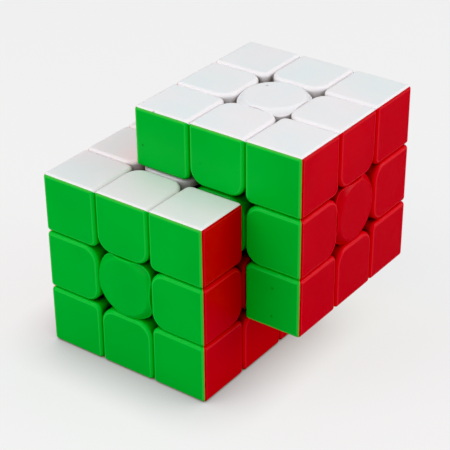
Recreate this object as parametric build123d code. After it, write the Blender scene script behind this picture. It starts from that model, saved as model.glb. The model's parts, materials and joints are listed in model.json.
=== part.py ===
from build123d import *
import os
from math import sqrt

# Conjoined twisty puzzle: two 3 x 3 x 3 cubes that share a fixed block of 2 x 2 x 2 cells.
# Millimetres, +Z up. The origin is under the middle of the whole, on the surface it stands on.
# Cells are numbered 0 to 3 along X (right), Y (back) and Z (up). The lower cube fills the
# cells 0 to 2 and the upper cube the cells 1 to 3, so the cells 1 and 2 belong to both.

# Driving dimensions
CUBE_EDGE = 56.0        # outer edge of one cube
CELLS = 3               # cells along an edge of one cube
GAP = 0.4               # slit between two neighbouring pieces
WALL = 1.6              # wall of the hollow pieces
RIM = 1.0               # rounding along the rims of every coloured face
CORNER_ROUND = 2.3      # outline radius of a corner piece, towards the middle of a face
EDGE_ROUND = 5.0        # outline radius of an edge piece, towards the middle of a face
CENTRE_ROUND = 5.5      # outline radius of a centre piece, at all four corners
BALL = 20.0             # radius of the ball in which the feet of the pieces turn
CORE_BALL = 9.2         # radius of the ball that the feet turn around
FOOT_PLANE = 4.7        # distance of a layer's parting plane from the cube's middle, inside the ball
PLAY = 0.15             # play of each piece at the ball surfaces and the inner parting planes

CELL = CUBE_EDGE / CELLS
HALF = CELL / 2
OUTER = CUBE_EDGE / 2
INNER = HALF + GAP / 2              # first plane of an outer layer, from the cube's middle
SIDE = HALF - GAP / 2               # half width of a middle piece
FOOT_INNER = FOOT_PLANE + PLAY
FOOT_SIDE = FOOT_PLANE - PLAY
FAR = 2 * CUBE_EDGE                 # larger than anything here

# Centre pieces: a base with a stem, and a coloured lid with a round flat top
LID_HEIGHT = 3.6        # lid above its joint with the base
LID_FLAT_RADIUS = 8.75  # round flat top of the lid
LID_SLOPE_DROP = 1.5    # how far the slope falls from the flat top to the corners
LID_WALL = 2.2          # thickness of the lid's top
LID_PLUG_RADIUS = 4.6   # outside of the ring that plugs into the base
LID_PLUG_WALL = 0.9
LID_PLUG_DEPTH = 2.4
LID_FIT = 0.05          # radial fit of the plug in the base
STEM_RADIUS = 4.3
STEM_FLOOR = 1.9        # floor of the spring pocket
POCKET_RADIUS = 3.1     # spring pocket in the stem

# Tension hardware under each lid
SHANK_RADIUS = 1.2
SHANK_FIT = 0.08        # radial running fit of the stem on the shank
THREAD_FIT = 0.03       # radial fit of a screw in its core
SHANK_TIP = 3.5         # tip of the screw, from the cube's middle
SPRING_LENGTH = 5.0
SPRING_RADIUS = 2.1     # middle of the wire
SPRING_WIRE = 0.3       # radius of the wire
SPRING_TURNS = 5
SPRING_FREE = 0.08      # play at each end of the spring
WASHER_RADIUS = 2.8
WASHER_THICKNESS = 0.5
HEAD_RADIUS = 2.2
HEAD_HEIGHT = 1.7
RECESS_RADIUS = 0.9     # hexagon recess in a screw head, from its middle to a corner
RECESS_DEPTH = 1.0

# Fixed block in the middle
CAP_WALL = 2.4          # wall of the fixed inner caps
FRAME_SCREW_OFFSET = 5.5    # frame screws, from the line through the middles of both cubes
FRAME_SCREW_SEAT = 2.0      # underside of their heads, from the lower cube's middle
FRAME_SCREW_LENGTH = 24.0

LOWER_MIDDLE = Vector(-HALF, -HALF, OUTER)
UPPER_MIDDLE = Vector(HALF, HALF, OUTER + CELL)
BLOCK_HALFWAY = OUTER               # x + y + z of the plane between the cores, lower cube's frame

X = Vector(1, 0, 0)
Y = Vector(0, 1, 0)
Z = Vector(0, 0, 1)
FACE_COLOURS = {
    (-1, 0, 0): "orange",
    (1, 0, 0): "red",
    (0, -1, 0): "green",
    (0, 1, 0): "blue",
    (0, 0, -1): "yellow",
    (0, 0, 1): "white",
}
FACE_NAMES = {
    (-1, 0, 0): "left",
    (1, 0, 0): "right",
    (0, -1, 0): "front",
    (0, 1, 0): "back",
    (0, 0, -1): "bottom",
    (0, 0, 1): "top",
}


def key(direction):
    """Give a direction along an axis as a tuple of whole numbers."""
    return (round(direction.X), round(direction.Y), round(direction.Z))


def block(low, high):
    """Make a box between its lowest and its highest corner."""
    size = Vector(*high) - Vector(*low)
    return Pos(*(Vector(*low) + size * 0.5)) * Box(size.X, size.Y, size.Z)


def placed(shape, x_dir, z_dir, origin=Vector(0, 0, 0)):
    """Move a shape so that its X and Z axes point along the two directions."""
    return Plane(origin=origin, x_dir=x_dir, z_dir=z_dir).location * shape


def prism(low, high, radii):
    """Make an upright bar from Z = 0 to the outer face, with its own radius at each corner.

    The corners are in the order -X -Y, +X -Y, -X +Y, +X +Y, and a radius of 0 leaves one sharp.
    """
    outline = Pos((low[0] + high[0]) / 2, (low[1] + high[1]) / 2) * Rectangle(
        high[0] - low[0], high[1] - low[1]
    )
    corners = outline.vertices().sort_by(lambda v: (v.Y > (low[1] + high[1]) / 2, v.X))
    for radius in sorted(set(radii) - {0}):
        chosen = [corner for corner, wanted in zip(corners, radii) if wanted == radius]
        outline = fillet(chosen, radius)
    return extrude(outline, OUTER)


def soften_rims(shape):
    """Round every edge that lies in an outer face of the cube."""
    rims = []
    for edge in shape.edges():
        low = edge.bounding_box().min
        if max(low.X, low.Y, low.Z) > OUTER - 0.01:
            rims.append(edge)
    return fillet(rims, RIM)


def cavity(low, high):
    """Make the hollow of a piece: a box that stays a wall clear of the ball."""
    return block(low, high) - Sphere(BALL + PLAY + WALL)


def foot(low, high):
    """Make a foot: the part of a box between the core ball and the large ball."""
    return (block(low, high) & Sphere(BALL - PLAY)) - Sphere(CORE_BALL + PLAY)


def crown_and_foot(shell):
    """Part a shell into its crown outside the ball and its foot inside it, two bonded mouldings."""
    ball = Sphere(BALL - PLAY)
    return Compound(children=[shell - ball, shell & ball])


def corner_shells():
    """Make the three shells of the corner piece at +X +Y +Z, keyed by their face's direction."""
    bar = prism((INNER, INNER), (OUTER, OUTER), (CORNER_ROUND, 0, 0, 0))
    outside = soften_rims(bar & placed(bar, Y, X) & placed(bar, Z, Y))
    hollow = cavity((INNER + WALL,) * 3, (OUTER - WALL,) * 3)
    piece = outside + foot((FOOT_INNER,) * 3, (BALL,) * 3) - hollow
    mitre = ConvexPolyhedron(
        [(0, 0, 0), (0, 0, FAR), (FAR, 0, FAR), (0, FAR, FAR), (FAR, FAR, FAR)]
    )
    return {
        key(X): crown_and_foot(piece & placed(mitre, Y, X)),
        key(Y): crown_and_foot(piece & placed(mitre, Z, Y)),
        key(Z): crown_and_foot(piece & mitre),
    }


def edge_shells():
    """Make the two shells of the edge piece at +X +Y, keyed by their face's direction."""
    bar = prism((INNER, -SIDE), (OUTER, SIDE), (EDGE_ROUND, 0, EDGE_ROUND, 0))
    along_x = placed(bar, Y, X)
    along_y = placed(bar, X, Y)
    outside = soften_rims(along_x & along_y) - Sphere(BALL + PLAY)
    neck = block((INNER, INNER, -FOOT_SIDE), (BALL, BALL, FOOT_SIDE)) & Sphere(BALL + PLAY + WALL)
    low = (INNER + WALL, INNER + WALL, -SIDE + WALL)
    high = (OUTER - WALL, OUTER - WALL, SIDE - WALL)
    piece = outside - cavity(low, high)
    piece += neck + foot((FOOT_INNER, FOOT_INNER, -FOOT_SIDE), (BALL, BALL, FOOT_SIDE))
    mitre = extrude(Polygon((0, 0), (FAR, 0), (FAR, FAR), align=None), FAR, both=True)
    return {key(X): crown_and_foot(piece & mitre), key(Y): crown_and_foot(piece - mitre)}


def centre_outline():
    """Make the upright bar of a centre piece, with all four corners rounded."""
    return prism((-SIDE, -SIDE), (SIDE, SIDE), (CENTRE_ROUND,) * 4)


def centre_base():
    """Make the base and stem of the centre piece at +Z, with its spring pocket."""
    top = OUTER - LID_HEIGHT
    bar = centre_outline() - Sphere(BALL + PLAY)
    base = bar & block((-SIDE, -SIDE, INNER), (SIDE, SIDE, top))
    hollow = block((-SIDE + WALL, -SIDE + WALL, INNER), (SIDE - WALL, SIDE - WALL, top - WALL))
    base -= hollow - Sphere(BALL + PLAY + WALL) - Cylinder(LID_PLUG_RADIUS + WALL, FAR)
    stem_foot = CORE_BALL + PLAY
    base += Pos(0, 0, stem_foot) * Cylinder(
        STEM_RADIUS, BALL + WALL - stem_foot, align=(Align.CENTER, Align.CENTER, Align.MIN)
    )
    pocket_floor = stem_foot + STEM_FLOOR
    base -= Pos(0, 0, pocket_floor) * Cylinder(
        POCKET_RADIUS, FAR, align=(Align.CENTER, Align.CENTER, Align.MIN)
    )
    base -= Pos(0, 0, top) * Cylinder(LID_PLUG_RADIUS + LID_FIT, 2 * LID_PLUG_DEPTH)
    return base - Cylinder(SHANK_RADIUS + SHANK_FIT, FAR)


def centre_lid():
    """Make the lid of the centre piece at +Z: a round flat top that slopes to the corners."""
    bottom = OUTER - LID_HEIGHT
    reach = sqrt(2) * (SIDE - CENTRE_ROUND) + CENTRE_ROUND
    slope = Pos(0, 0, OUTER - LID_SLOPE_DROP) * Cone(
        reach, LID_FLAT_RADIUS, LID_SLOPE_DROP, align=(Align.CENTER, Align.CENTER, Align.MIN)
    )
    slope += Pos(0, 0, OUTER - LID_SLOPE_DROP) * Cylinder(
        reach, LID_HEIGHT, align=(Align.CENTER, Align.CENTER, Align.MAX)
    )
    lid = centre_outline() & slope & block((-SIDE, -SIDE, bottom), (SIDE, SIDE, OUTER))
    underside = Pos(0, 0, bottom) * Cylinder(LID_PLUG_RADIUS - LID_PLUG_WALL, FAR)
    lid -= underside & block((-SIDE, -SIDE, 0), (SIDE, SIDE, OUTER - LID_WALL))
    ring = Cylinder(LID_PLUG_RADIUS, LID_PLUG_DEPTH) - Cylinder(
        LID_PLUG_RADIUS - LID_PLUG_WALL, LID_PLUG_DEPTH
    )
    return lid + Pos(0, 0, bottom - LID_PLUG_DEPTH / 2) * ring


def screw(seat, length):
    """Make a screw along Z, with its head on the seat and its shank going down from it."""
    body = Pos(0, 0, seat) * Cylinder(
        SHANK_RADIUS, length, align=(Align.CENTER, Align.CENTER, Align.MAX)
    )
    body += Pos(0, 0, seat) * Cylinder(
        HEAD_RADIUS, HEAD_HEIGHT, align=(Align.CENTER, Align.CENTER, Align.MIN)
    )
    recess = extrude(RegularPolygon(RECESS_RADIUS, 6), RECESS_DEPTH)
    return body - Pos(0, 0, seat + HEAD_HEIGHT - RECESS_DEPTH) * recess


def tension_set():
    """Make the spring, the washer and the screw of the centre piece at +Z."""
    floor = CORE_BALL + PLAY + STEM_FLOOR + SPRING_FREE
    helix_height = SPRING_LENGTH - 2 * SPRING_WIRE
    path = Helix(helix_height / SPRING_TURNS, helix_height, SPRING_RADIUS)
    wire = Plane(origin=path @ 0, z_dir=path % 0) * Circle(SPRING_WIRE)
    spring = Pos(0, 0, floor + SPRING_WIRE) * sweep(wire, path=path)
    washer_low = floor + SPRING_LENGTH + SPRING_FREE
    ring = Cylinder(WASHER_RADIUS, WASHER_THICKNESS) - Cylinder(
        SHANK_RADIUS + SHANK_FIT, WASHER_THICKNESS
    )
    washer = Pos(0, 0, washer_low + WASHER_THICKNESS / 2) * ring
    seat = washer_low + WASHER_THICKNESS
    return {
        "tension_springs": spring,
        "tension_washers": washer,
        "tension_screws": screw(seat, seat - SHANK_TIP),
    }


def foot_room():
    """Make the room in which the feet of the lower cube turn, about that cube's middle."""
    room = None
    for corner in ((-FOOT_SIDE, FAR, FAR), (FAR, -FOOT_SIDE, FAR), (FAR, FAR, -FOOT_SIDE)):
        side = block((-FAR, -FAR, -FAR), corner) & Sphere(BALL + PLAY)
        room = side if room is None else room + side
    return room - Sphere(CORE_BALL - PLAY)


def lower_place(shape):
    """Move a shape from the frame of a cube's middle to the lower cube."""
    return Pos(*LOWER_MIDDLE) * shape


def upper_place(shape):
    """Move a shape to the upper cube, turned half over so that its room faces the other way."""
    return placed(shape, Y * -1, Z * -1, UPPER_MIDDLE)


def frame_screw_places():
    """Give the three frame screw places, as frames with +Z from the upper to the lower cube."""
    down = (X + Y + Z) * (-1 / sqrt(3))
    places = []
    for axis in (X, Y, Z):
        outward = (axis * 3 - (X + Y + Z)) * (1 / sqrt(6))
        origin = LOWER_MIDDLE + outward * FRAME_SCREW_OFFSET
        places.append(Plane(origin=origin, x_dir=outward, z_dir=down).location)
    return places


def core_blank(core_box, room):
    """Make the lower core about its cube's middle, with the three holes for its tension screws."""
    up = (X + Y + Z) * (1 / sqrt(3))
    above = placed(block((-FAR, -FAR, 0), (FAR, FAR, FAR)), X - Y, up, up * (BLOCK_HALFWAY / sqrt(3)))
    core = core_box - above - room
    core += Sphere(CORE_BALL - PLAY)
    hole = Pos(0, 0, SHANK_TIP - PLAY) * Cylinder(
        SHANK_RADIUS + THREAD_FIT, CELL, align=(Align.CENTER, Align.CENTER, Align.MIN)
    )
    for across, outward in ((Y, X * -1), (X, Y * -1), (X, Z * -1)):
        core -= placed(hole, across, outward)
    return core


def fixed_block():
    """Make the two cores, the six fixed inner caps and the frame screws, keyed by node."""
    room = foot_room()
    other_room = placed(room, Y * -1, Z * -1, UPPER_MIDDLE - LOWER_MIDDLE)
    low = -SIDE
    high = OUTER - GAP / 2
    core_box = block((low + CAP_WALL,) * 3, (high - CAP_WALL,) * 3)
    blank = core_blank(core_box, room) - other_room
    lower_core = lower_place(blank)
    upper_core = upper_place(blank)
    drill = Pos(0, 0, -FRAME_SCREW_SEAT) * Cylinder(
        SHANK_RADIUS + THREAD_FIT,
        FRAME_SCREW_LENGTH + PLAY,
        align=(Align.CENTER, Align.CENTER, Align.MAX),
    )
    drill += Pos(0, 0, -FRAME_SCREW_SEAT) * Cylinder(
        HEAD_RADIUS + PLAY, CELL, align=(Align.CENTER, Align.CENTER, Align.MIN)
    )
    screws = []
    for place in frame_screw_places():
        lower_core -= place * drill
        upper_core -= place * drill
        screws.append(place * screw(-FRAME_SCREW_SEAT, FRAME_SCREW_LENGTH))
    nodes = {
        "lower_core": lower_core,
        "upper_core": upper_core,
        "frame_screws": Compound(children=screws),
    }
    outline = Pos(0, 0, high - OUTER) * soften_rims(centre_outline())
    for across, outward, inverse in ((Y, X, Y), (X, Y, X), (X, Z, Z)):
        cap = placed(outline, across, outward)
        cap &= block((low,) * 3, (high,) * 3) - placed(Cylinder(FAR, 2 * HALF), across, outward)
        cap = cap - core_box - room - other_room
        nodes[f"lower_{FACE_NAMES[key(outward)]}_fixed_cap"] = lower_place(cap)
        nodes[f"upper_{FACE_NAMES[key(inverse * -1)]}_fixed_cap"] = upper_place(cap)
    return nodes


def shells_of(offset, corner, edge):
    """Place the shells of the piece at an offset from its cube's middle, keyed by direction."""
    directions = []
    for axis, amount in ((X, offset[0]), (Y, offset[1]), (Z, offset[2])):
        if amount:
            directions.append(axis * amount)
    if len(directions) == 2:
        x_dir, y_dir = directions
        z_dir = x_dir.cross(y_dir)
        source = edge
    else:
        x_dir, y_dir, z_dir = directions
        if x_dir.cross(y_dir).dot(z_dir) < 0:
            x_dir, y_dir = y_dir, x_dir
        source = corner
    turned = {key(X): x_dir, key(Y): y_dir, key(Z): z_dir}
    shells = {}
    for face, shell in source.items():
        shells[key(turned[face])] = placed(shell, x_dir, z_dir)
    return shells


def body_of(offset, side):
    """Name the body that a moving piece belongs to, from its offset and its cube's side."""
    turning = []
    for index, amount in enumerate(offset):
        if amount == side:
            axis = (X, Y, Z)[index] * side
            turning.append(FACE_NAMES[key(axis)])
    if len(turning) == 1:
        return f"{turning[0]}_block"
    if len(turning) == 2:
        return f"{turning[0]}_{turning[1]}_pair"
    return "lower_corner" if side < 0 else "upper_corner"


def main():
    """Build every node and write it to its own STEP file."""
    corner = corner_shells()
    edge = edge_shells()
    base = centre_base()
    lid = centre_lid()
    hardware = tension_set()
    groups = {}
    singles = fixed_block()
    for side, middle in ((-1, LOWER_MIDDLE), (1, UPPER_MIDDLE)):
        offsets = [(i, j, k) for i in (-1, 0, 1) for j in (-1, 0, 1) for k in (-1, 0, 1)]
        for offset in offsets:
            if side not in offset:
                continue
            body = body_of(offset, side)
            if offset.count(0) == 2:
                z_dir = Vector(*offset)
                x_dir = Y if offset[0] else X
                colour = FACE_COLOURS[key(z_dir)]
                moved = placed(base, x_dir, z_dir, middle)
                groups.setdefault(f"{body}_{colour}_shells", []).append(moved)
                name = FACE_NAMES[key(z_dir)]
                singles[f"{name}_centre_lid"] = placed(lid, x_dir, z_dir, middle)
                for node, part in hardware.items():
                    groups.setdefault(node, []).append(placed(part, x_dir, z_dir, middle))
                continue
            for face, shell in shells_of(offset, corner, edge).items():
                node = f"{body}_{FACE_COLOURS[face]}_shells"
                groups.setdefault(node, []).append(Pos(*middle) * shell)
    os.makedirs("parts", exist_ok=True)
    for node, parts in groups.items():
        export_step(Compound(children=parts), f"parts/{node}.step")
    for node, part in singles.items():
        export_step(part, f"parts/{node}.step")


main()
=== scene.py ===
"""Looks of a conjoined twisty puzzle: two 3 x 3 x 3 cubes that share a fixed block in the middle.

Everything is in metres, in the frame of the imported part: X right, Y back, Z up, with the origin
under the middle of the whole. The lower cube stands left and front, the upper cube one cell right,
back and up. A coloured shell is built once for each kind of piece, about its own piece's middle
with its face towards +Z, and Geometry Nodes set copies of it into every place of a body.
"""

import itertools
import json
import logging
import math
from collections.abc import Callable, Sequence
from dataclasses import dataclass, field
from enum import Enum

import bmesh
import bpy
import numpy as np
from mathutils import Euler, Matrix, Quaternion, Vector


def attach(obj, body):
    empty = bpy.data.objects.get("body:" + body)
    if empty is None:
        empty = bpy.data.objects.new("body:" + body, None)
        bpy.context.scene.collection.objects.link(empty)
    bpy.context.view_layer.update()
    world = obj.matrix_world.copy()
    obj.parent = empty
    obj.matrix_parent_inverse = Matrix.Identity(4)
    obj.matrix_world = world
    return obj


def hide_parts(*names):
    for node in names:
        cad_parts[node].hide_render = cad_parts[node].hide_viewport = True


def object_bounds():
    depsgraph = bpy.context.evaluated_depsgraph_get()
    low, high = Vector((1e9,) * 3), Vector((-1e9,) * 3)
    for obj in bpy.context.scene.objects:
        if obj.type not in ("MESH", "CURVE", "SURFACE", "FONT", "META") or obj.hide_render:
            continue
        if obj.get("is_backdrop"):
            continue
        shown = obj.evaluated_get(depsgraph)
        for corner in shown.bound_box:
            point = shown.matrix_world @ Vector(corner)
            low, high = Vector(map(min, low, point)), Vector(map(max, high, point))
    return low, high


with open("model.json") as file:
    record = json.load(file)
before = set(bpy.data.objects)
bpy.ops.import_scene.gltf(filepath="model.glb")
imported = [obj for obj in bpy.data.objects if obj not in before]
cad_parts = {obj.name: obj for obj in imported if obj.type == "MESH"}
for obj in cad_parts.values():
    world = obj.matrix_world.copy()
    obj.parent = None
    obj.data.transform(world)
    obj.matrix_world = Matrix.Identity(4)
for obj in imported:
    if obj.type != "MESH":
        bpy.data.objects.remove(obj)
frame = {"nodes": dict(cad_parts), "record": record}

LOG = logging.getLogger("twisty_puzzle")
CAD_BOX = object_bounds()
MM = 0.001
CELLS_ACROSS = 4

Pair = tuple[float, float]
Triple = tuple[float, float, float]
Colour = Triple
Socket = bpy.types.NodeSocket
Given = Socket | Triple | float | str | bool
SurfaceRule = Callable[[np.ndarray, np.ndarray], np.ndarray]


def sphere_rule(radius: float) -> SurfaceRule:
    """Give the height of a sphere about the cube's middle, and zero beside it."""
    return lambda u, v: np.sqrt(np.maximum(radius**2 - u**2 - v**2, 0.0))


def add_object(name: str, data: bpy.types.ID) -> bpy.types.Object:
    """Make an object and link it to the scene.

    Args:
        name: Name of the object.
        data: Its mesh, light or camera.

    Returns:
        The object, at the origin.
    """
    made = bpy.data.objects.new(name, data)
    bpy.context.scene.collection.objects.link(made)
    return made


def connect(tree: bpy.types.NodeTree, node: bpy.types.Node, inputs: dict[str | int, Given]) -> None:
    """Give inputs of a node a value, or link them to the output that feeds them.

    Args:
        tree: The tree that holds the node.
        node: The node.
        inputs: What each input is given, by its name or number.
    """
    for name, given in inputs.items():
        socket = node.inputs[name]
        if isinstance(given, Socket):
            tree.links.new(given, socket)
        else:
            socket.default_value = (*given, 1.0) if socket.type == "RGBA" else given


def add_node(
    tree: bpy.types.NodeTree, kind: str, inputs: dict[str | int, Given] | None = None, **settings: str
) -> bpy.types.Node:
    """Add a node to a tree.

    Args:
        tree: The tree.
        kind: Type of the node.
        inputs: What its inputs are given, by name or number.
        settings: The node's own settings.

    Returns:
        The node.
    """
    node = tree.nodes.new(kind)
    for name, setting in settings.items():
        setattr(node, name, setting)
    connect(tree, node, inputs or {})
    return node


class Face(Enum):
    """The six ways a coloured face can look, each with its plastic and its direction."""

    LEFT = ("orange", (-1, 0, 0))
    RIGHT = ("red", (1, 0, 0))
    FRONT = ("green", (0, -1, 0))
    BACK = ("blue", (0, 1, 0))
    BOTTOM = ("yellow", (0, 0, -1))
    TOP = ("white", (0, 0, 1))

    @property
    def plastic(self) -> str:
        """Name of the plastic, which is also its material slot."""
        return self.value[0]

    @property
    def way(self) -> Vector:
        """Outward direction of the face."""
        return Vector(self.value[1])

    @property
    def side(self) -> str:
        """Plain name of the side, such as left."""
        return self.name.lower()


class Kind(Enum):
    """Kinds of moving piece, told apart by how many of their faces are coloured."""

    CENTRE = 1
    EDGE = 2
    CORNER = 3

    @property
    def label(self) -> str:
        """Name of the placer's input for this kind."""
        return self.name.title()


@dataclass(frozen=True)
class PuzzleSizes:
    """Sizes that the pieces of both cubes share.

    Attributes:
        cell: Width of one cell of the puzzle.
        gap: Slit between two neighbouring pieces.
        rim: Rounding of the rims of a coloured face.
        corner_round: Outline radius of a corner piece, towards the middle of a face.
        edge_round: Outline radius of an edge piece, towards the middle of a face.
        centre_round: Outline radius of a centre piece.
        ball: Radius of the ball in which the feet turn.
        core_ball: Radius of the ball that the feet turn around.
        foot_plane: Parting plane of a layer inside the ball, from the cube's middle.
        play: Play at the ball surfaces and at the inner parting planes.
        lid_height: Height of a centre piece's lid above its joint with the base.
        lid_flat: Radius of the lid's flat top.
        lid_drop: How far the lid's slope falls from the flat top to the corners.
        lid_bend: Power by which the slope grows steeper, 1 for a straight one.
        lid_rim: Rounding of the lid's outline.
        stem: Radius of the stem under a centre piece.
        pocket: Radius of the spring pocket in the stem.
        pocket_floor: Thickness of the pocket's floor.
        bore: Radius of the bore that the tension screw runs in.
    """

    cell: float
    gap: float = 0.3 * MM
    rim: float = 1.2 * MM
    corner_round: float = 2.3 * MM
    edge_round: float = 5.0 * MM
    centre_round: float = 5.5 * MM
    ball: float = 20.0 * MM
    core_ball: float = 9.2 * MM
    foot_plane: float = 4.7 * MM
    play: float = 0.15 * MM
    lid_height: float = 3.6 * MM
    lid_flat: float = 8.55 * MM
    lid_drop: float = 1.55 * MM
    lid_bend: float = 1.35
    lid_rim: float = 0.35 * MM
    stem: float = 4.3 * MM
    pocket: float = 3.1 * MM
    pocket_floor: float = 1.9 * MM
    bore: float = 1.28 * MM

    @property
    def outer(self) -> float:
        """Outer face of a cube, from its middle."""
        return 1.5 * self.cell

    @property
    def inner(self) -> float:
        """First plane of an outer layer, from the cube's middle."""
        return 0.5 * (self.cell + self.gap)

    @property
    def side(self) -> float:
        """Half width of a middle piece."""
        return 0.5 * (self.cell - self.gap)


class ShellMesh:
    """Collects closed solids that stand on an outline, and joins them into one mesh.

    A point is a row of X, Y and Z, and on a rim also of its rim mark, from 0 at the flat face to 1
    where the rim ends, and its edge mark, which is the same on an edge shared with the next face.

    Attributes:
        MARKS: Names of the marks, in the order of their columns.
        MERGE: Points nearer to each other than this become one.
    """

    MARKS: tuple[str, ...] = ("rim", "edge")
    MERGE: float = 0.0005 * MM

    def __init__(self) -> None:
        """Start with no points and no faces."""
        self.points: list[np.ndarray] = []
        self.faces: list[tuple[int, ...]] = []

    def add_ring(self, ring: np.ndarray) -> list[int]:
        """Add a closed loop of points.

        Args:
            ring: The points, one row each, with no marks, the rim mark or both marks.

        Returns:
            The indices of the points.
        """
        start = len(self.points)
        marked = np.zeros((len(ring), 3 + len(self.MARKS)))
        marked[:, : ring.shape[1]] = ring
        self.points.extend(marked)
        return list(range(start, start + len(ring)))

    def bridge(self, upper: Sequence[int], lower: Sequence[int]) -> None:
        """Join two loops that run the same way round, seen from above, with outward faces.

        Args:
            upper: Indices of the loop that lies higher or further in.
            lower: Indices of the loop that lies lower or further out.
        """
        count = len(upper)
        for i in range(count):
            j = (i + 1) % count
            self.faces.append((upper[i], lower[i], lower[j], upper[j]))

    def close(self, ring: Sequence[int], hub: np.ndarray, upward: bool) -> None:
        """Close a loop with a fan of triangles to a hub point.

        Args:
            ring: Indices of the loop.
            hub: The point that the triangles meet in.
            upward: True if the fan is seen from above.
        """
        (middle,) = self.add_ring(hub[None, :])
        count = len(ring)
        for i in range(count):
            j = (i + 1) % count
            triangle = (ring[i], ring[j], middle)
            self.faces.append(triangle if upward else triangle[::-1])

    def add_stack(self, rings: Sequence[np.ndarray], top_hub: np.ndarray, low_hub: np.ndarray) -> None:
        """Add a closed solid.

        Args:
            rings: Loops of points, listed from the top hub, over the side, to the low hub.
            top_hub: Point in the middle of the top.
            low_hub: Point in the middle of the underside.
        """
        indices = [self.add_ring(ring) for ring in rings]
        self.close(indices[0], top_hub, upward=True)
        for upper, lower in zip(indices, indices[1:]):
            self.bridge(upper, lower)
        self.close(indices[-1], low_hub, upward=False)

    def add_column(self, outline: np.ndarray, top: SurfaceRule, bottom: SurfaceRule, hub: Pair) -> None:
        """Add a solid between two surfaces over an outline.

        Args:
            outline: Loop of u and v, anticlockwise seen from above.
            top: Height of the upper surface.
            bottom: Height of the lower surface.
            hub: The place inside the outline that the loops shrink to.
        """
        centre = np.array(hub)
        loops = [centre + (outline - centre) * share for share in (0.25, 0.5, 0.75, 1.0)]
        rings = [np.column_stack((loop, top(*loop.T))) for loop in loops]
        rings += [np.column_stack((loop, bottom(*loop.T))) for loop in reversed(loops)]
        ends = [np.array([*hub, rule(*centre)]) for rule in (top, bottom)]
        self.add_stack(rings, *ends)

    def add_tube(self, profile: Sequence[Pair], segments: int = 48) -> None:
        """Add a solid of revolution about Z.

        Args:
            profile: Closed profile of radius and height, with the solid to the left of its run.
            segments: Number of steps round the axis.
        """
        angles = np.linspace(0.0, 2 * math.pi, segments, endpoint=False)
        around = np.column_stack((np.cos(angles), np.sin(angles)))
        rings = [
            self.add_ring(np.column_stack((around * radius, np.full(segments, height))))
            for radius, height in profile
        ]
        for lower, upper in zip(rings, rings[1:] + rings[:1]):
            self.bridge(upper, lower)

    def finish(self, name: str, sharp_deg: float = 32.0) -> bpy.types.Object:
        """Turn what was collected into an object with merged points and sharp creases.

        Args:
            name: Name of the object.
            sharp_deg: Faces that meet at more than this angle meet in a crease.

        Returns:
            The object, which isn't linked to the scene.
        """
        mesh = bpy.data.meshes.new(name)
        mesh.from_pydata([tuple(point[:3]) for point in self.points], [], self.faces)
        for column, mark in enumerate(self.MARKS, start=3):
            values = [point[column] for point in self.points]
            mesh.attributes.new(mark, "FLOAT", "POINT").data.foreach_set("value", values)
        work = bmesh.new()
        work.from_mesh(mesh)
        bmesh.ops.remove_doubles(work, verts=work.verts, dist=self.MERGE)
        bmesh.ops.dissolve_degenerate(work, edges=work.edges, dist=self.MERGE)
        work.to_mesh(mesh)
        work.free()
        mesh.shade_smooth()
        mesh.set_sharp_from_angle(angle=math.radians(sharp_deg))
        return bpy.data.objects.new(name, mesh)


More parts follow.
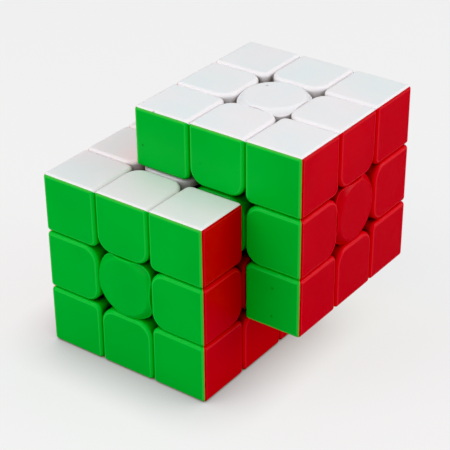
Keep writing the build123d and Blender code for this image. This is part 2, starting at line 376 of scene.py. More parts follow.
@dataclass
class Outline:
    """Rounded rectangle that a coloured face fills, seen along the face's own direction.

    Attributes:
        low: Lowest u and v.
        high: Highest u and v.
        radii: Radius at the corners -u -v, +u -v, +u +v and -u +v.
        rim: Rounding of the rim, and the radius of a corner on the outside of the cube.
        shared: Directions in which the rim is a mitre shared with the piece's next face.
        arc_steps: Steps round each corner.
        side_steps: Steps along each straight side.
        base: Loop of u and v that the rim starts from.
        normal: Outward direction at each point of the loop.
        lean: How much of a mitre the rim is at each point, from 0 to 1.
        end_angle: How far the rim turns down at each point.
    """

    low: Pair
    high: Pair
    radii: tuple[float, float, float, float]
    rim: float
    shared: tuple[tuple[int, int], ...] = ()
    arc_steps: int = 12
    side_steps: int = 8
    base: np.ndarray = field(init=False)
    normal: np.ndarray = field(init=False)
    lean: np.ndarray = field(init=False)
    end_angle: np.ndarray = field(init=False)

    def __post_init__(self) -> None:
        """Work out the loop that the rim starts from, and how the rim runs at each point."""
        bases, normals = [], []
        corners = ((0, 0, 180), (1, 0, 270), (1, 1, 0), (0, 1, 90))
        for (at_u, at_v, start), radius in zip(corners, self.radii):
            round_off = max(radius, self.rim)
            corner = np.array(((self.low, self.high)[at_u][0], (self.low, self.high)[at_v][1]))
            inward = np.array((1 - 2 * at_u, 1 - 2 * at_v))
            middle = corner + inward * round_off
            for angle in np.radians(np.linspace(start, start + 90, self.arc_steps + 1)):
                normal = np.array((math.cos(angle), math.sin(angle)))
                bases.append(middle + normal * (round_off - self.rim))
                normals.append(normal)
        self.base = self._divide(np.array(bases))
        self.normal = self._divide(np.array(normals))
        self.normal /= np.linalg.norm(self.normal, axis=1)[:, None]
        self.lean = self._leans()
        self.end_angle = np.arctan2(1.0, np.maximum(self.lean, 1e-9))

    def _divide(self, values: np.ndarray) -> np.ndarray:
        """Put further points on the four straight sides, between the arcs.

        Args:
            values: One row for each point of the four arcs.

        Returns:
            Rows for all points of the outline.
        """
        per_arc = self.arc_steps + 1
        parts = []
        for side in range(4):
            arc = values[side * per_arc : (side + 1) * per_arc]
            following = values[((side + 1) * per_arc) % len(values)]
            shares = np.linspace(0.0, 1.0, self.side_steps + 1)[1:-1, None]
            parts += [arc, arc[-1] + (following - arc[-1]) * shares]
        return np.vstack(parts)

    def _leans(self) -> np.ndarray:
        """Work out how far the rim leans towards a shared edge.

        Returns:
            0 where the rim is free, up to 1 where it is a mitre.
        """
        lean = np.zeros(len(self.normal))
        for way in self.shared:
            lean = np.maximum(lean, self.normal @ np.array(way))
        return lean

    def rim_loop(self, share: float, height: float) -> np.ndarray:
        """Give one loop of the rounded rim.

        Args:
            share: 0 at the flat face, 1 where the rim ends.
            height: Height of the flat face.

        Returns:
            Points of the loop, with both marks.
        """
        angle = self.end_angle * share
        place = self.base + self.normal * (self.rim * np.sin(angle))[:, None]
        drop = self.rim * (1.0 - np.cos(angle))
        return np.column_stack((place, height - drop, np.full(len(place), share), self.lean * share))


@dataclass
class ShellWorkshop:
    """Builds one shell of each kind of piece, about the piece's middle, with its face up.

    Attributes:
        sizes: Sizes of the puzzle.
        skirt: Height of the wall under the rim of a corner or edge piece.
        flat_loops: Loops of a flat face, as shares of the way out from its middle.
        lid_loops: Loops of a lid's flat top, likewise.
        rim_steps: Loops over the rounded rim of a face.
        lid_rim_steps: Loops over the rounded rim of a lid.
        steps: Loops over a slope or a hidden surface, and points along a curve.
        ball: Outside of the feet.
        roof: Surface of the crowns over the feet.
        core: Surface that the feet turn around.
    """

    sizes: PuzzleSizes
    skirt: float = 0.15 * MM
    flat_loops: Triple = (0.35, 0.7, 0.96)
    lid_loops: Triple = (0.35, 0.7, 0.97)
    rim_steps: int = 7
    lid_rim_steps: int = 5
    steps: int = 9
    ball: SurfaceRule = field(init=False)
    roof: SurfaceRule = field(init=False)
    core: SurfaceRule = field(init=False)

    def __post_init__(self) -> None:
        """Work out the round surfaces inside the cube."""
        s = self.sizes
        self.ball = sphere_rule(s.ball - s.play)
        self.roof = sphere_rule(s.ball + s.play)
        self.core = sphere_rule(s.core_ball + s.play)

    def _crown(self, shell: ShellMesh, outline: Outline, bottom: SurfaceRule, hub: Pair) -> None:
        """Add the visible part of a shell: flat face, rounded rim, walls and hidden mitres.

        Args:
            shell: What the solid is added to.
            outline: Outline of the face.
            bottom: Height of the hidden surface under the face.
            hub: Place that the loops shrink to.
        """
        outer = self.sizes.outer
        centre = np.array(hub)
        flat = [centre + (outline.base - centre) * share for share in self.flat_loops]
        rings = [np.column_stack((loop, np.full(len(loop), outer))) for loop in flat]
        rings += [outline.rim_loop(share, outer) for share in np.linspace(0.0, 1.0, self.rim_steps)]
        edge = rings[-1]
        support = edge.copy()
        support[:, 2] = np.maximum(bottom(*edge.T[:2]), edge[:, 2] - self.skirt)
        rings.append(support)
        for share in np.linspace(1.0, 0.1, self.steps):
            loop = centre + (edge[:, :2] - centre) * share
            rings.append(np.column_stack((loop, np.minimum(bottom(*loop.T), outer))))
        low_hub = np.array([*hub, bottom(*centre)])
        shell.add_stack(rings, np.array([*hub, outer]), low_hub)

    def _cut_outline(self, low_v: float, start_u: float) -> np.ndarray:
        """Give the outline of a foot: straight sides, and the curve where its mitre meets the ball.

        Args:
            low_v: Lowest v; the highest is its opposite, or the mitre if it is above zero.
            start_u: Lowest u.

        Returns:
            The loop, anticlockwise.
        """
        radius = self.sizes.ball - self.sizes.play
        high_v = radius / math.sqrt(3) if low_v > 0 else -low_v
        heights = np.linspace(low_v, high_v, self.steps)
        curve = [(math.sqrt((radius**2 - v**2) / 2), v) for v in heights]
        if low_v > 0:
            mirrored = [(v, u) for u, v in reversed(curve[:-1])]
            return np.array([(start_u, low_v), *curve, *mirrored])
        return np.array([*((start_u, v) for v in reversed(heights)), *curve])

    def _place_in_piece(self, shell: ShellMesh, name: str, middle: Triple) -> bpy.types.Object:
        """Move a shell from the cube's middle to its own piece's middle and finish it.

        Args:
            shell: The shell, about the cube's middle.
            name: Name of the object.
            middle: Middle of the piece, in cells.

        Returns:
            The object, about the piece's middle.
        """
        offset = np.zeros(3 + len(ShellMesh.MARKS))
        offset[:3] = np.array(middle) * self.sizes.cell
        shell.points = [point - offset for point in shell.points]
        return shell.finish(name)

    def corner_shell(self) -> bpy.types.Object:
        """Build a third of a corner piece: its face, walls and share of the foot.

        Returns:
            The shell, with the piece's other faces towards +X and +Y.
        """
        s = self.sizes
        radii = (s.corner_round, 0, 0, 0)
        outline = Outline((s.inner, s.inner), (s.outer, s.outer), radii, s.rim, ((1, 0), (0, 1)))
        shell = ShellMesh()
        self._crown(shell, outline, lambda u, v: np.maximum.reduce((u, v, self.ball(u, v))), (s.cell,) * 2)
        low = s.foot_plane + s.play
        foot = self._cut_outline(low, low)
        hub = (low + 0.2 * s.cell,) * 2
        shell.add_column(foot, self.ball, lambda u, v: np.maximum.reduce((u, v, self.core(u, v))), hub)
        return self._place_in_piece(shell, "corner_shell", (1, 1, 1))

    def edge_shell(self) -> bpy.types.Object:
        """Build half of an edge piece: its face, walls, neck and share of the foot.

        Returns:
            The shell, with the piece's other face towards +X.
        """
        s = self.sizes
        radii = (s.edge_round, 0, 0, s.edge_round)
        outline = Outline((s.inner, -s.side), (s.outer, s.side), radii, s.rim, ((1, 0),))
        shell = ShellMesh()
        self._crown(shell, outline, lambda u, v: np.maximum(u, self.roof(u, v)), (s.cell, 0.0))
        low_v = s.play - s.foot_plane
        foot = self._cut_outline(low_v, s.foot_plane + s.play)
        shell.add_column(foot, self.ball, lambda u, v: np.maximum(u, self.core(u, v)), (0.5 * s.cell, 0.0))
        neck = self._cut_outline(low_v, s.inner)
        shell.add_column(neck, self.roof, self.ball, (0.6 * s.cell, 0.0))
        return self._place_in_piece(shell, "edge_shell", (1, 0, 1))

    def _centre_outline(self) -> Outline:
        """Give the outline of a centre piece."""
        s = self.sizes
        return Outline((-s.side, -s.side), (s.side, s.side), (s.centre_round,) * 4, s.lid_rim)

    def centre_base(self) -> bpy.types.Object:
        """Build the base of a centre piece, with its stem and spring pocket.

        Returns:
            The base, with its lid's side up.
        """
        s = self.sizes
        joint = s.outer - s.lid_height
        outline = self._centre_outline()
        edge = outline.base + outline.normal * outline.rim
        waist = edge / np.linalg.norm(edge, axis=1)[:, None] * s.stem
        shell = ShellMesh()
        rings = []
        for share in (0.0, 0.5, 0.95, 1.0):
            loop = waist + (edge - waist) * share
            rings.append(shell.add_ring(np.column_stack((loop, np.full(len(loop), joint)))))
        for share in (1.0, 0.8, 0.6, 0.4, 0.2, 0.0):
            loop = waist + (edge - waist) * share
            rings.append(shell.add_ring(np.column_stack((loop, self.roof(*loop.T)))))
        for upper, lower in zip(rings, rings[1:] + rings[:1]):
            shell.bridge(upper, lower)
        foot = s.core_ball + s.play
        floor = foot + s.pocket_floor
        outside = ((s.bore, foot), (s.stem, foot), (s.stem, joint))
        inside = ((s.pocket, joint), (s.pocket, floor), (s.bore, floor))
        shell.add_tube(outside + inside)
        return self._place_in_piece(shell, "centre_base", (0, 0, 1))

    def centre_lid(self) -> bpy.types.Object:
        """Build the lid of a centre piece: a round flat top that slopes to rounded corners.

        Returns:
            The lid, with its flat top up.
        """
        s = self.sizes
        outline = self._centre_outline()
        far = np.linalg.norm(outline.base, axis=1)
        way = outline.base / far[:, None]

        def top(radius: np.ndarray) -> np.ndarray:
            """Give the height at a distance from the lid's middle, with a softened bend."""
            share = np.clip((radius - s.lid_flat) / (far.max() - s.lid_flat), 0.0, 1.0)
            return s.outer - s.lid_drop * share**s.lid_bend

        rings = []
        for share in self.lid_loops:
            rings.append(np.column_stack((way * s.lid_flat * share, np.full(len(way), s.outer))))
        for share in np.linspace(0.0, 1.0, self.steps):
            radius = s.lid_flat + (far - s.lid_flat) * share
            rings.append(np.column_stack((way * radius[:, None], top(radius))))
        for share in np.linspace(0.0, 1.0, self.lid_rim_steps + 1)[1:]:
            angle = 0.5 * math.pi * share
            place = outline.base + outline.normal * (s.lid_rim * math.sin(angle))
            height = top(far) - s.lid_rim * (1.0 - math.cos(angle))
            rings.append(np.column_stack((place, height, np.full(len(place), share))))
        low = rings[-1].copy()
        low[:, 2] = s.outer - s.lid_height
        rings.append(low)
        hubs = [np.array((0.0, 0.0, height)) for height in (s.outer, s.outer - s.lid_height)]
        shell = ShellMesh()
        shell.add_stack(rings, *hubs)
        return self._place_in_piece(shell, "centre_lid", (0, 0, 1))


class ShaderBench:
    """Wires up the nodes of one material, round its principled shader.

    Patterns follow the piece's own coordinates, in metres.
    """

    def __init__(self, name: str) -> None:
        """Start a material.

        Args:
            name: Name of the material.
        """
        self.material = bpy.data.materials.new(name)
        self.material.use_nodes = True
        self.tree = self.material.node_tree
        self.place = add_node(self.tree, "ShaderNodeTexCoord").outputs["Object"]

    def shade(self, inputs: dict[str, Given]) -> None:
        """Give inputs of the principled shader their values and patterns."""
        connect(self.tree, self.tree.nodes["Principled BSDF"], inputs)

    def noise(self, waves: float, detail: float) -> Socket:
        """Add a noise pattern with so many waves per metre and octaves of finer detail."""
        inputs = {"Vector": self.place, "Scale": waves, "Detail": detail}
        return add_node(self.tree, "ShaderNodeTexNoise", inputs).outputs["Fac"]

    def specks(self, scale: float, size: float, share: float) -> Socket:
        """Add scattered round specks.

        Args:
            scale: Cells per metre, each with room for one speck.
            size: Radius of a speck, in cells.
            share: Share of the cells that hold one.

        Returns:
            1 in the middle of a speck, 0 beside it.
        """
        inputs = {"Vector": self.place, "Scale": scale}
        cells = add_node(self.tree, "ShaderNodeTexVoronoi", inputs).outputs
        luck = add_node(self.tree, "ShaderNodeSeparateColor", {"Color": cells["Color"]}).outputs["Red"]
        dot = self.ramp(cells["Distance"], (size, 0.5 * size))
        return self.product(dot, self.ramp(luck, (share, share - 0.01)))

    def mark(self, name: str) -> Socket:
        """Read a mark of the mesh, which is 0 on a mesh without it."""
        return add_node(self.tree, "ShaderNodeAttribute", attribute_name=name).outputs["Fac"]

    def openness(self, reach: float) -> Socket:
        """Give the share of a place's view, from 0 to 1, that nothing blocks within a reach."""
        return add_node(self.tree, "ShaderNodeAmbientOcclusion", {"Distance": reach}).outputs["AO"]

    def product(self, first: Socket, second: Socket) -> Socket:
        """Multiply two patterns."""
        inputs = {0: first, 1: second}
        return add_node(self.tree, "ShaderNodeMath", inputs, operation="MULTIPLY").outputs["Value"]

    def ramp(self, source: Socket, span: Pair, to: Pair = (0.0, 1.0)) -> Socket:
        """Map a stretch of a pattern onto a stretch of values.

        Args:
            source: The pattern.
            span: Where the stretch starts and ends.
            to: The values at its start and its end.

        Returns:
            The mapped values, held at the ends.
        """
        labels = ("From Min", "From Max", "To Min", "To Max")
        inputs = {"Value": source, **dict(zip(labels, (*span, *to)))}
        return add_node(self.tree, "ShaderNodeMapRange", inputs).outputs["Result"]

    def mix(self, factor: Socket, first: Socket | Colour, second: Socket | Colour) -> Socket:
        """Blend two colours, or the outputs that give them: 0 is the first, 1 the second."""
        inputs = {"Factor": factor, 6: first, 7: second}
        return add_node(self.tree, "ShaderNodeMix", inputs, data_type="RGBA").outputs[2]

    def relief(self, height: Socket, strength: float, depth: float) -> Socket:
        """Raise the surface by a pattern, with so much of a relief of this depth showing."""
        inputs = {"Height": height, "Strength": strength, "Distance": depth}
        return add_node(self.tree, "ShaderNodeBump", inputs).outputs["Normal"]


@dataclass(frozen=True)
class MouldedPlastic:
    """Moulded plastic with faint smudges, a few dark specks, a fine grain, painted highlights on its rims
    and painted shade in its holes.

    Attributes:
        name: Name of the material.
        colour: Linear base colour.
        roughness: Middle roughness.
        gloss: Strength of the mirror part, half being that of clear plastic.
        smudge: How much of the colour is left in its darker smudges.
        cast: Linear colour of the smudges, or none for a darker base colour.
        rim_gain: How much the rims' colour is raised, as a painted highlight.
        rim_veil: White that the crease between a flat and its rim adds to that, as a painted highlight
            line.
        edge: Linear colour of the outer edges, or none for the rims' painted highlight; the green one is a
            painted highlight, the red one a darker red.
        deep: Linear colour of the painted shade in the holes between the pieces, or none for a darker base
            colour.
        shadow: How much of the colour is left as painted shade in the holes, where deep is none.
        hole: How far the other side of a hole is, for the painted shade.
        slit: How far the other side of a slit between two pieces is, which stays light, free of the
            painted shade.
        speck: How much of the colour is left in the dark specks.
        speck_spread: Cells per metre for the specks, their radius in cells and the share that has one.
        glow: Strength of the light that scatters just under the surface.
        scatter: How far that light goes.
        waves: Waves of the smudges, the worn places and the fine grain per metre.
        grain: Strength of the fine grain.
        grain_depth: Depth of the fine grain.
    """

    name: str
    colour: Colour
    roughness: float = 0.34
    gloss: float = 0.14
    smudge: float = 0.93
    cast: Colour | None = None
    rim_gain: float = 1.14
    rim_veil: float = 0.02
    edge: Colour | None = None
    deep: Colour | None = None
    shadow: float = 0.12
    hole: float = 6.0 * MM
    slit: float = 0.8 * MM
    speck: float = 0.62
    speck_spread: Triple = (250.0, 0.14, 0.07)
    glow: float = 0.12
    scatter: float = 0.6 * MM
    waves: Triple = (38.0, 160.0, 2600.0)
    grain: float = 0.05
    grain_depth: float = 0.02 * MM

    def tinted(self, gain: float, veil: float = 0.0) -> Colour:
        """Give the base colour made lighter or darker, with a veil of white."""
        return tuple(min(1.0, channel * gain + veil) for channel in self.colour)

    def material(self) -> bpy.types.Material:
        """Build the material.

        Returns:
            The material, with its nodes.
        """
        bench = ShaderBench(self.name)
        smudge_waves, wear_waves, grain_waves = self.waves
        # Painted highlight: the rims' colour, raised by the gain.
        lighter = self.tinted(self.rim_gain)
        rim = bench.mark("rim")
        # Painted highlight line along the crease between the flat face and its rim.
        crease = bench.product(bench.ramp(rim, (0.0, 0.2)), bench.ramp(rim, (0.4, 0.2)))
        # Painted shade: darker colour where a hole's other side is near, though not in the slits between
        # pieces.
        deep_shade_mask = bench.ramp(bench.openness(self.hole), (0.52, 0.04))
        hole_shade_mask = bench.product(deep_shade_mask, bench.ramp(bench.openness(self.slit), (0.25, 0.75)))
        smudges = bench.ramp(bench.noise(smudge_waves, 2.0), (0.38, 0.62))
        body = bench.mix(smudges, self.cast or self.tinted(self.smudge), self.colour)
        for pattern, colour in (
            # Painted highlight over the rim.
            (bench.ramp(rim, (0.0, 0.3)), lighter),
            # Painted highlight line at the crease.
            (crease, self.tinted(self.rim_gain, self.rim_veil)),
            # The outer edges' colour: a painted highlight on green, a darker red on red.
            (bench.ramp(bench.mark("edge"), (0.3, 1.0)), self.edge or lighter),
            # Painted shade in the holes.
            (hole_shade_mask, self.deep or self.tinted(self.shadow)),
            (bench.specks(*self.speck_spread), self.tinted(self.speck)),
        ):
            body = bench.mix(pattern, body, colour)
        wear = bench.ramp(bench.noise(wear_waves, 4.0), (0.3, 0.7), (-0.05, 0.06))
        rough = add_node(bench.tree, "ShaderNodeMath", {0: wear, 1: self.roughness}, operation="ADD")
        bench.shade(
            {
                "Base Color": body,
                "Roughness": rough.outputs["Value"],
                "Normal": bench.relief(bench.noise(grain_waves, 2.0), self.grain, self.grain_depth),
                "IOR": 1.5,
                "Specular IOR Level": self.gloss,
                "Subsurface Weight": self.glow,
                "Subsurface Radius": (1.2, 1.0, 0.8),
                "Subsurface Scale": self.scatter,
            }
        )
        return bench.material


@dataclass(frozen=True)
class PlatedSteel:
    """Plated steel with fine drawing marks.

    Attributes:
        name: Name of the material.
        tint: Linear colour of the plating.
        roughness: Roughness at its smoothest.
        spread: How much rougher the marks are.
        worn: How much of the colour is left in the marks.
        waves: Waves of the marks per metre.
        depth: Depth of the marks.
    """

    name: str
    tint: Colour = (0.60, 0.60, 0.62)
    roughness: float = 0.20
    spread: float = 0.20
    worn: float = 0.8
    waves: float = 900.0
    depth: float = 0.01 * MM

    def material(self) -> bpy.types.Material:
        """Build the material.

        Returns:
            The material, with its nodes.
        """
        bench = ShaderBench(self.name)
        marks = bench.noise(self.waves, 3.0)
        dull = tuple(channel * self.worn for channel in self.tint)
        rough = (self.roughness, self.roughness + self.spread)
        bench.shade(
            {
                "Base Color": bench.mix(marks, dull, self.tint),
                "Roughness": bench.ramp(marks, (0.0, 1.0), rough),
                "Normal": bench.relief(marks, 0.1, self.depth),
                "Metallic": 1.0,
            }
        )
        return bench.material


@dataclass(frozen=True)
class StudioPaper:
    """Pale paper of the studio floor, lit from below, with a soft neutral shade at a contact.

    Attributes:
        name: Name of the material.
        albedo: Part of the light that the paper scatters back.
        glow: Light from below, away from any contact.
        shade: Light from below, at a contact.
        reach: How far the shade of a contact reaches.
        mirrored: Brightness of the paper in the gloss of the puzzle.
        bounced: Part of the light from below that reaches the puzzle.
    """

    name: str = "pale_paper"
    albedo: float = 0.22
    glow: float = 0.675
    shade: float = 0.0
    reach: float = 18 * MM
    mirrored: float = 0.12
    bounced: float = 0.42

    def material(self) -> bpy.types.Material:
        """Build the material.

        Returns:
            The material, with its nodes.
        """
        bench = ShaderBench(self.name)
        lit = bench.ramp(bench.openness(self.reach), (0.0, 1.0), (self.shade, self.glow))
        path = add_node(bench.tree, "ShaderNodeLightPath").outputs
        in_gloss = path["Is Glossy Ray"]
        dim = bench.ramp(in_gloss, (0.0, 1.0), (1.0, self.mirrored))
        spread = bench.ramp(path["Is Diffuse Ray"], (0.0, 1.0), (1.0, self.bounced))
        dark = (self.albedo * self.mirrored,) * 3
        bench.shade(
            {
                "Base Color": bench.mix(in_gloss, (self.albedo,) * 3, dark),
                "Roughness": 0.9,
                "Specular IOR Level": 0.0,
                "Emission Color": (1.0, 1.0, 1.0),
                "Emission Strength": bench.product(bench.product(lit, dim), spread),
            }
        )
        return bench.material


FINISHES: dict[str, MouldedPlastic | PlatedSteel] = {
    "white": MouldedPlastic(
        "white_plastic",
        (0.88, 0.855, 0.875),
        gloss=0.4,
        cast=(0.81, 0.865, 0.875),
        # rim_gain: a faint painted highlight on the rims; rim_veil: no painted crease highlight.
        rim_gain=1.03,
        rim_veil=0.0,
        # deep: painted shade in the holes of the white pieces.
        deep=(0.16, 0.105, 0.07),
    ),
    "yellow": MouldedPlastic("yellow_plastic", (0.90, 0.66, 0.02)),
    # edge: a painted highlight along the outer edges of the green pieces.
    "green": MouldedPlastic("green_plastic", (0.001, 0.50, 0.032), edge=(0.13, 0.49, 0.06)),
    "blue": MouldedPlastic("blue_plastic", (0.005, 0.075, 0.48)),
    # edge: darker red along the outer edges of the red pieces.
    "red": MouldedPlastic("red_plastic", (0.64, 0.001, 0.010), edge=(0.42, 0.001, 0.001)),
    "orange": MouldedPlastic("orange_plastic", (0.90, 0.16, 0.008)),
    "core_black": MouldedPlastic("core_plastic", (0.018, 0.018, 0.02), roughness=0.5, glow=0.0),
    "screw_steel": PlatedSteel("plated_steel"),
    "spring_steel": PlatedSteel("spring_wire", (0.42, 0.42, 0.44), 0.14),
}


@dataclass
class PiecePlacer:
    """Geometry Nodes that set shells on the places of a body.

    Attributes:
        shift: Largest looseness of a piece along each axis.
        turn_deg: Largest looseness of a piece about each axis.
        seed: Seed of the looseness.
        tree: The tree of nodes.
        given: The tree's inputs, by name.
        sockets: Identifiers of those inputs, by name.
    """

    shift: float = 0.035 * MM
    turn_deg: float = 0.22
    seed: int = 11
    tree: bpy.types.GeometryNodeTree = field(init=False)
    given: bpy.types.NodeOutputs = field(init=False)
    sockets: dict[str, str] = field(init=False, default_factory=dict)

    def __post_init__(self) -> None:
        """Build the tree: one branch for each kind of shell, joined, realised and painted."""
        tree = bpy.data.node_groups.new("piece_placer", "GeometryNodeTree")
        for name, holds in (
            ("Places", "NodeSocketGeometry"),
            ("Plastic", "NodeSocketMaterial"),
            ("Shift", "NodeSocketFloat"),
            ("Turn", "NodeSocketFloat"),
            ("Seed", "NodeSocketInt"),
            *((kind.label, "NodeSocketObject") for kind in Kind),
        ):
            socket = tree.interface.new_socket(name, in_out="INPUT", socket_type=holds)
            self.sockets[name] = socket.identifier
        tree.interface.new_socket("Shells", in_out="OUTPUT", socket_type="NodeSocketGeometry")
        self.tree = tree
        self.given = add_node(tree, "NodeGroupInput").outputs
        loosened = {"Geometry": self.given["Places"], "Offset": self._random("Shift", 0)}
        moved = add_node(tree, "GeometryNodeSetPosition", loosened).outputs["Geometry"]
        turned = self._turned()
        joined = add_node(tree, "GeometryNodeJoinGeometry")
        for kind in Kind:
            shell = {"As Instance": True, "Object": self.given[kind.label]}
            pair = {2: self._attribute("kind", "INT"), 3: kind.value}
            same = add_node(tree, "FunctionNodeCompare", pair, data_type="INT", operation="EQUAL")
            copies = {
                "Points": moved,
                "Selection": same.outputs["Result"],
                "Instance": add_node(tree, "GeometryNodeObjectInfo", shell).outputs["Geometry"],
                "Rotation": turned,
            }
            set_out = add_node(tree, "GeometryNodeInstanceOnPoints", copies)
            connect(tree, joined, {"Geometry": set_out.outputs["Instances"]})
        real = add_node(tree, "GeometryNodeRealizeInstances", {"Geometry": joined.outputs["Geometry"]})
        paint = {"Geometry": real.outputs["Geometry"], "Material": self.given["Plastic"]}
        painted = add_node(tree, "GeometryNodeSetMaterial", paint)
        add_node(tree, "NodeGroupOutput", {"Shells": painted.outputs["Geometry"]})

    def _attribute(self, name: str, kind: str) -> Socket:
        """Read a named attribute of the places."""
        node = add_node(self.tree, "GeometryNodeInputNamedAttribute", {"Name": name}, data_type=kind)
        return node.outputs["Attribute"]

    def _random(self, size: str, seed_step: int) -> Socket:
        """Give each piece a random vector.

        Args:
            size: Name of the input that says how large each part may be.
            seed_step: What is added to the seed, so that two vectors differ.

        Returns:
            The output that gives the vector.
        """
        seed = add_node(self.tree, "ShaderNodeMath", {0: self.given["Seed"], 1: seed_step})
        ends = {0: (-1.0, -1.0, -1.0), "ID": self._attribute("piece", "INT"), "Seed": seed.outputs[0]}
        draw = add_node(self.tree, "FunctionNodeRandomValue", ends, data_type="FLOAT_VECTOR")
        scaled = {0: draw.outputs[0], "Scale": self.given[size]}
        return add_node(self.tree, "ShaderNodeVectorMath", scaled, operation="SCALE").outputs["Vector"]

    def _turned(self) -> Socket:
        """Turn every place's own rotation by its piece's looseness.

        Returns:
            The output that gives the rotation.
        """
        small = add_node(self.tree, "FunctionNodeEulerToRotation", {0: self._random("Turn", 1)})
        both = {"Rotation": self._attribute("turn", "QUATERNION"), "Rotate By": small.outputs[0]}
        node = add_node(self.tree, "FunctionNodeRotateRotation", both, rotation_space="GLOBAL")
        return node.outputs["Rotation"]

    def make(
        self,
        name: str,
        places: Sequence["Place"],
        shells: dict[Kind, bpy.types.Object],
        plastic: bpy.types.Material,
    ) -> bpy.types.Object:
        """Set shells on places and give the result as a plain mesh.

        Args:
            name: Name of the result.
            places: Where the shells go.
            shells: The shell of each kind.
            plastic: Material of the result.

        Returns:
            An object at the origin, whose mesh holds all the shells.
        """
        points = bpy.data.meshes.new(name)
        points.from_pydata([tuple(place.middle) for place in places], [], [])
        for label, kind, values in (
            ("kind", "INT", [place.kind.value for place in places]),
            ("piece", "INT", [place.piece for place in places]),
            ("turn", "QUATERNION", [part for place in places for part in place.turn]),
        ):
            points.attributes.new(label, kind, "POINT").data.foreach_set("value", values)
        holder = add_object(name + "_places", points)
        modifier = holder.modifiers.new("placer", "NODES")
        modifier.node_group = self.tree
        inputs = {
            "Plastic": plastic,
            "Shift": self.shift,
            "Turn": math.radians(self.turn_deg),
            "Seed": self.seed,
            **{kind.label: shell for kind, shell in shells.items()},
        }
        for label, value in inputs.items():
            modifier[self.sockets[label]] = value
        graph = bpy.context.evaluated_depsgraph_get()
        mesh = bpy.data.meshes.new_from_object(holder.evaluated_get(graph))
        bpy.data.objects.remove(holder)
        mesh.name = name
        return add_object(name, mesh)


@dataclass(frozen=True)
class Place:
    """A place that a shell is set on.

    Attributes:
        kind: Kind of the piece.
        piece: Number of the piece, the same for all its shells.
        middle: Middle of the piece.
        turn: Rotation of the shell, as a quaternion.
    """

    kind: Kind
    piece: int
    middle: Vector
    turn: Quaternion


@dataclass
class Cube:
    """One of the two cubes, with its turning layers on three sides.

    Attributes:
        name: Plain name, lower or upper.
        sizes: Sizes of the puzzle.
        layers: Faces whose layers turn.
        middle: Middle of the cube.
        plastics: Materials by plastic.
    """

    name: str
    sizes: PuzzleSizes
    layers: tuple[Face, Face, Face]
    middle: Vector
    plastics: dict[str, bpy.types.Material]

    def body_of(self, faces: Sequence[Face]) -> str:
        """Name the body of a piece.

        Args:
            faces: Coloured faces of the piece.

        Returns:
            Name of the body.
        """
        turning = [face for face in self.layers if face in faces]
        if len(turning) == 1:
            return f"{turning[0].side}_block"
        if len(turning) == 2:
            return f"{turning[0].side}_{turning[1].side}_pair"
        return f"{self.name}_corner"

    def pieces(self) -> list[tuple[int, tuple[Face, ...]]]:
        """List the moving pieces.

        Returns:
            Each piece's number and its coloured faces.
        """
        listed = []
        for number, cell in enumerate(itertools.product((-1, 0, 1), repeat=3), start=1):
            faces = tuple(face for face in Face if Vector(cell).dot(face.way) > 0)
            if any(face in faces for face in self.layers):
                listed.append((number, faces))
        return listed

    def place(self, number: int, faces: Sequence[Face], face: Face) -> Place:
        """Work out where the shell of one face of a piece goes.

        Args:
            number: Number of the piece.
            faces: Coloured faces of the piece.
            face: The face whose shell is placed.

        Returns:
            The place, with the shell's +Z along the face's own direction.
        """
        up = face.way
        others = [other.way for other in faces if other is not face]
        if not others:
            others = [Vector((up.y, up.z, up.x))]
        along = others[0]
        if len(others) == 2 and others[0].cross(others[1]).dot(up) < 0:
            along = others[1]
        across = up.cross(along)
        turn = Matrix((along, across, up)).transposed().to_quaternion()
        offset = sum((other.way for other in faces), Vector())
        return Place(Kind(len(faces)), number, self.middle + offset * self.sizes.cell, turn)

    def build(
        self, placer: PiecePlacer, shells: dict[Kind, bpy.types.Object], lid: bpy.types.Object
    ) -> None:
        """Build the coloured shells and the centre lids, and let them ride on their bodies.

        Args:
            placer: Sets the shells on their places.
            shells: The shell of each kind of piece.
            lid: The lid of a centre piece.
        """
        groups: dict[tuple[str, Face], list[Place]] = {}
        for number, faces in self.pieces():
            body = self.body_of(faces)
            for face in faces:
                place = self.place(number, faces, face)
                groups.setdefault((body, face), []).append(place)
                if place.kind is Kind.CENTRE:
                    name = f"{face.side}_centre_top"
                    top = placer.make(name, [place], {Kind.CENTRE: lid}, self.plastics[face.plastic])
                    self._fit(top, body, f"{face.side}_centre_lid", face)
        for (body, face), places in groups.items():
            name = f"{body}_{face.plastic}_faces"
            made = placer.make(name, places, shells, self.plastics[face.plastic])
            self._fit(made, body, f"{body}_{face.plastic}_shells", face)

    def _fit(self, piece: bpy.types.Object, body: str, node: str, face: Face) -> None:
        """Let a piece ride on its body in the place of a node of the frame.

        Args:
            piece: The piece.
            body: Its body.
            node: The node that it stands for.
            face: The face whose plastic it is made of, which is not used.
        """
        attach(piece, body)
        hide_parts(node)
        face.plastic
        LOG.info("%s: %d faces, rides on %s", piece.name, len(piece.data.polygons), body)


@dataclass
class InnerWorks:
    """The cores, fixed caps and tension hardware, which keep the shapes of the frame.

    Attributes:
        materials: Materials by slot.
    """

    materials: dict[str, bpy.types.Material]

    def dress(self) -> None:
        """Give every node that is carried over its finish, from the record's slots."""
        slots = {part["node"]: part["material_slot"] for part in frame["record"]["subparts"]}
        for name, node in frame["nodes"].items():
            node.data.materials.clear()
            node.data.materials.append(self.materials[slots[name]])
            LOG.info("%s: finished in %s", name, slots[name])


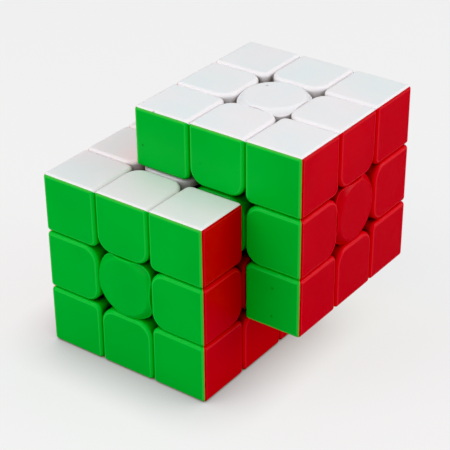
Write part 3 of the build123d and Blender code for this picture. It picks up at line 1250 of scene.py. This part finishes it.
@dataclass(frozen=True)
class Softbox:
    """Square soft light that faces the middle of the puzzle.

    Attributes:
        name: Name of the light.
        place: Its place, in cells.
        width: Its width, in cells.
        watts: Its power.
    """

    name: str
    place: Triple
    width: float
    watts: float

    def hang(self, cell: float) -> None:
        """Hang the light.

        Args:
            cell: Width of a cell.
        """
        lamp = bpy.data.lights.new(self.name, "AREA")
        lamp.size = self.width * cell
        lamp.energy = self.watts
        light = add_object(self.name, lamp)
        light.location = Vector(self.place) * cell
        aim = Vector((0.0, 0.0, 0.5 * CELLS_ACROSS * cell)) - light.location
        light.rotation_mode = "QUATERNION"
        light.rotation_quaternion = aim.to_track_quat("-Z", "Y")


SOFTBOXES = (
    Softbox("key_light", (-16.0, -20.0, 28.0), 22.0, 1.15),
    Softbox("front_light", (10.0, -26.0, 22.0), 22.0, 0.5),
    Softbox("fill_light", (26.0, 16.0, 18.0), 22.0, 1.25),
    Softbox("top_light", (0.0, 4.0, 40.0), 30.0, 0.15),
)


@dataclass
class Studio:
    """Plain pale floor, soft lights and the camera.

    Attributes:
        cell: Width of a cell, which the places are given in.
        floor_cells: Reach of the floor on each side, in cells.
        camera_cells: Place of the camera, in cells.
        heading_deg: Turn of the camera about the vertical, from +Y.
        tilt_deg: Tilt of the camera above the horizon.
        roll_deg: Roll of the camera about its own axis.
        lens_mm: Focal length on a 36 mm sensor.
        black_level: Brightness that the picture shows as black.
        room: Brightness of the pale room.
        room_in_gloss: Brightness of the room in the gloss of the puzzle.
    """

    cell: float
    floor_cells: float = 40.0
    camera_cells: Triple = (11.770, -16.061, 13.325)
    heading_deg: float = 36.41
    tilt_deg: float = -30.02
    roll_deg: float = -0.58
    lens_mm: float = 117.7
    black_level: float = 0.010
    room: float = 0.64
    room_in_gloss: float = 0.22

    def build(self) -> None:
        """Build everything round the puzzle."""
        self._floor()
        self._lights()
        self._camera()

    def _floor(self) -> None:
        """Lay the floor at the lowest point of the puzzle."""
        reach = self.floor_cells * self.cell
        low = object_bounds()[0].z
        mesh = bpy.data.meshes.new("floor")
        corners = [(x * reach, y * reach, low) for x, y in ((-1, -1), (1, -1), (1, 1), (-1, 1))]
        mesh.from_pydata(corners, [], [(0, 1, 2, 3)])
        mesh.materials.append(StudioPaper().material())
        add_object("floor", mesh)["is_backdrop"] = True

    def _lights(self) -> None:
        """Hang the soft lights and set the room's own pale light."""
        for softbox in SOFTBOXES:
            softbox.hang(self.cell)
        world = bpy.data.worlds.new("room")
        world.use_nodes = True
        tree = world.node_tree
        in_gloss = add_node(tree, "ShaderNodeLightPath").outputs["Is Glossy Ray"]
        levels = {"Value": in_gloss, "To Min": self.room, "To Max": self.room_in_gloss}
        strength = add_node(tree, "ShaderNodeMapRange", levels).outputs["Result"]
        connect(tree, tree.nodes["Background"], {"Color": (1.0, 1.0, 1.0), "Strength": strength})
        bpy.context.scene.world = world
        tone = bpy.context.scene.view_settings
        tone.view_transform = "Standard"
        tone.use_curve_mapping = True
        tone.curve_mapping.black_level = (self.black_level,) * 3

    def _camera(self) -> None:
        """Set up the camera."""
        data = bpy.data.cameras.new("camera")
        data.lens = self.lens_mm
        data.clip_start = 0.01
        camera = add_object("camera", data)
        camera.location = Vector(self.camera_cells) * self.cell
        upright = Euler((math.radians(90 + self.tilt_deg), 0.0, math.radians(self.heading_deg)), "XYZ")
        roll = Matrix.Rotation(math.radians(self.roll_deg), 3, "Z")
        camera.rotation_mode = "QUATERNION"
        camera.rotation_quaternion = (upright.to_matrix() @ roll).to_quaternion()
        bpy.context.scene.camera = camera


def main() -> None:
    """Build the puzzle's pieces, its insides and the studio."""
    logging.basicConfig(level=logging.INFO, format="%(name)s: %(message)s")
    low, high = CAD_BOX
    cell = (high.x - low.x) / CELLS_ACROSS
    sizes = PuzzleSizes(cell)
    finishes = {name: finish.material() for name, finish in FINISHES.items()}
    InnerWorks(finishes).dress()
    workshop = ShellWorkshop(sizes)
    shells = {
        Kind.CENTRE: workshop.centre_base(),
        Kind.EDGE: workshop.edge_shell(),
        Kind.CORNER: workshop.corner_shell(),
    }
    lid = workshop.centre_lid()
    placer = PiecePlacer()
    half = 0.5 * cell
    low_middle = Vector((-half, -half, 3 * half))
    high_middle = Vector((half, half, 5 * half))
    for name, layers, middle in (
        ("lower", (Face.LEFT, Face.FRONT, Face.BOTTOM), low_middle),
        ("upper", (Face.RIGHT, Face.BACK, Face.TOP), high_middle),
    ):
        Cube(name, sizes, layers, middle, finishes).build(placer, shells, lid)
    Studio(cell).build()


if __name__ == "__main__":
    main()
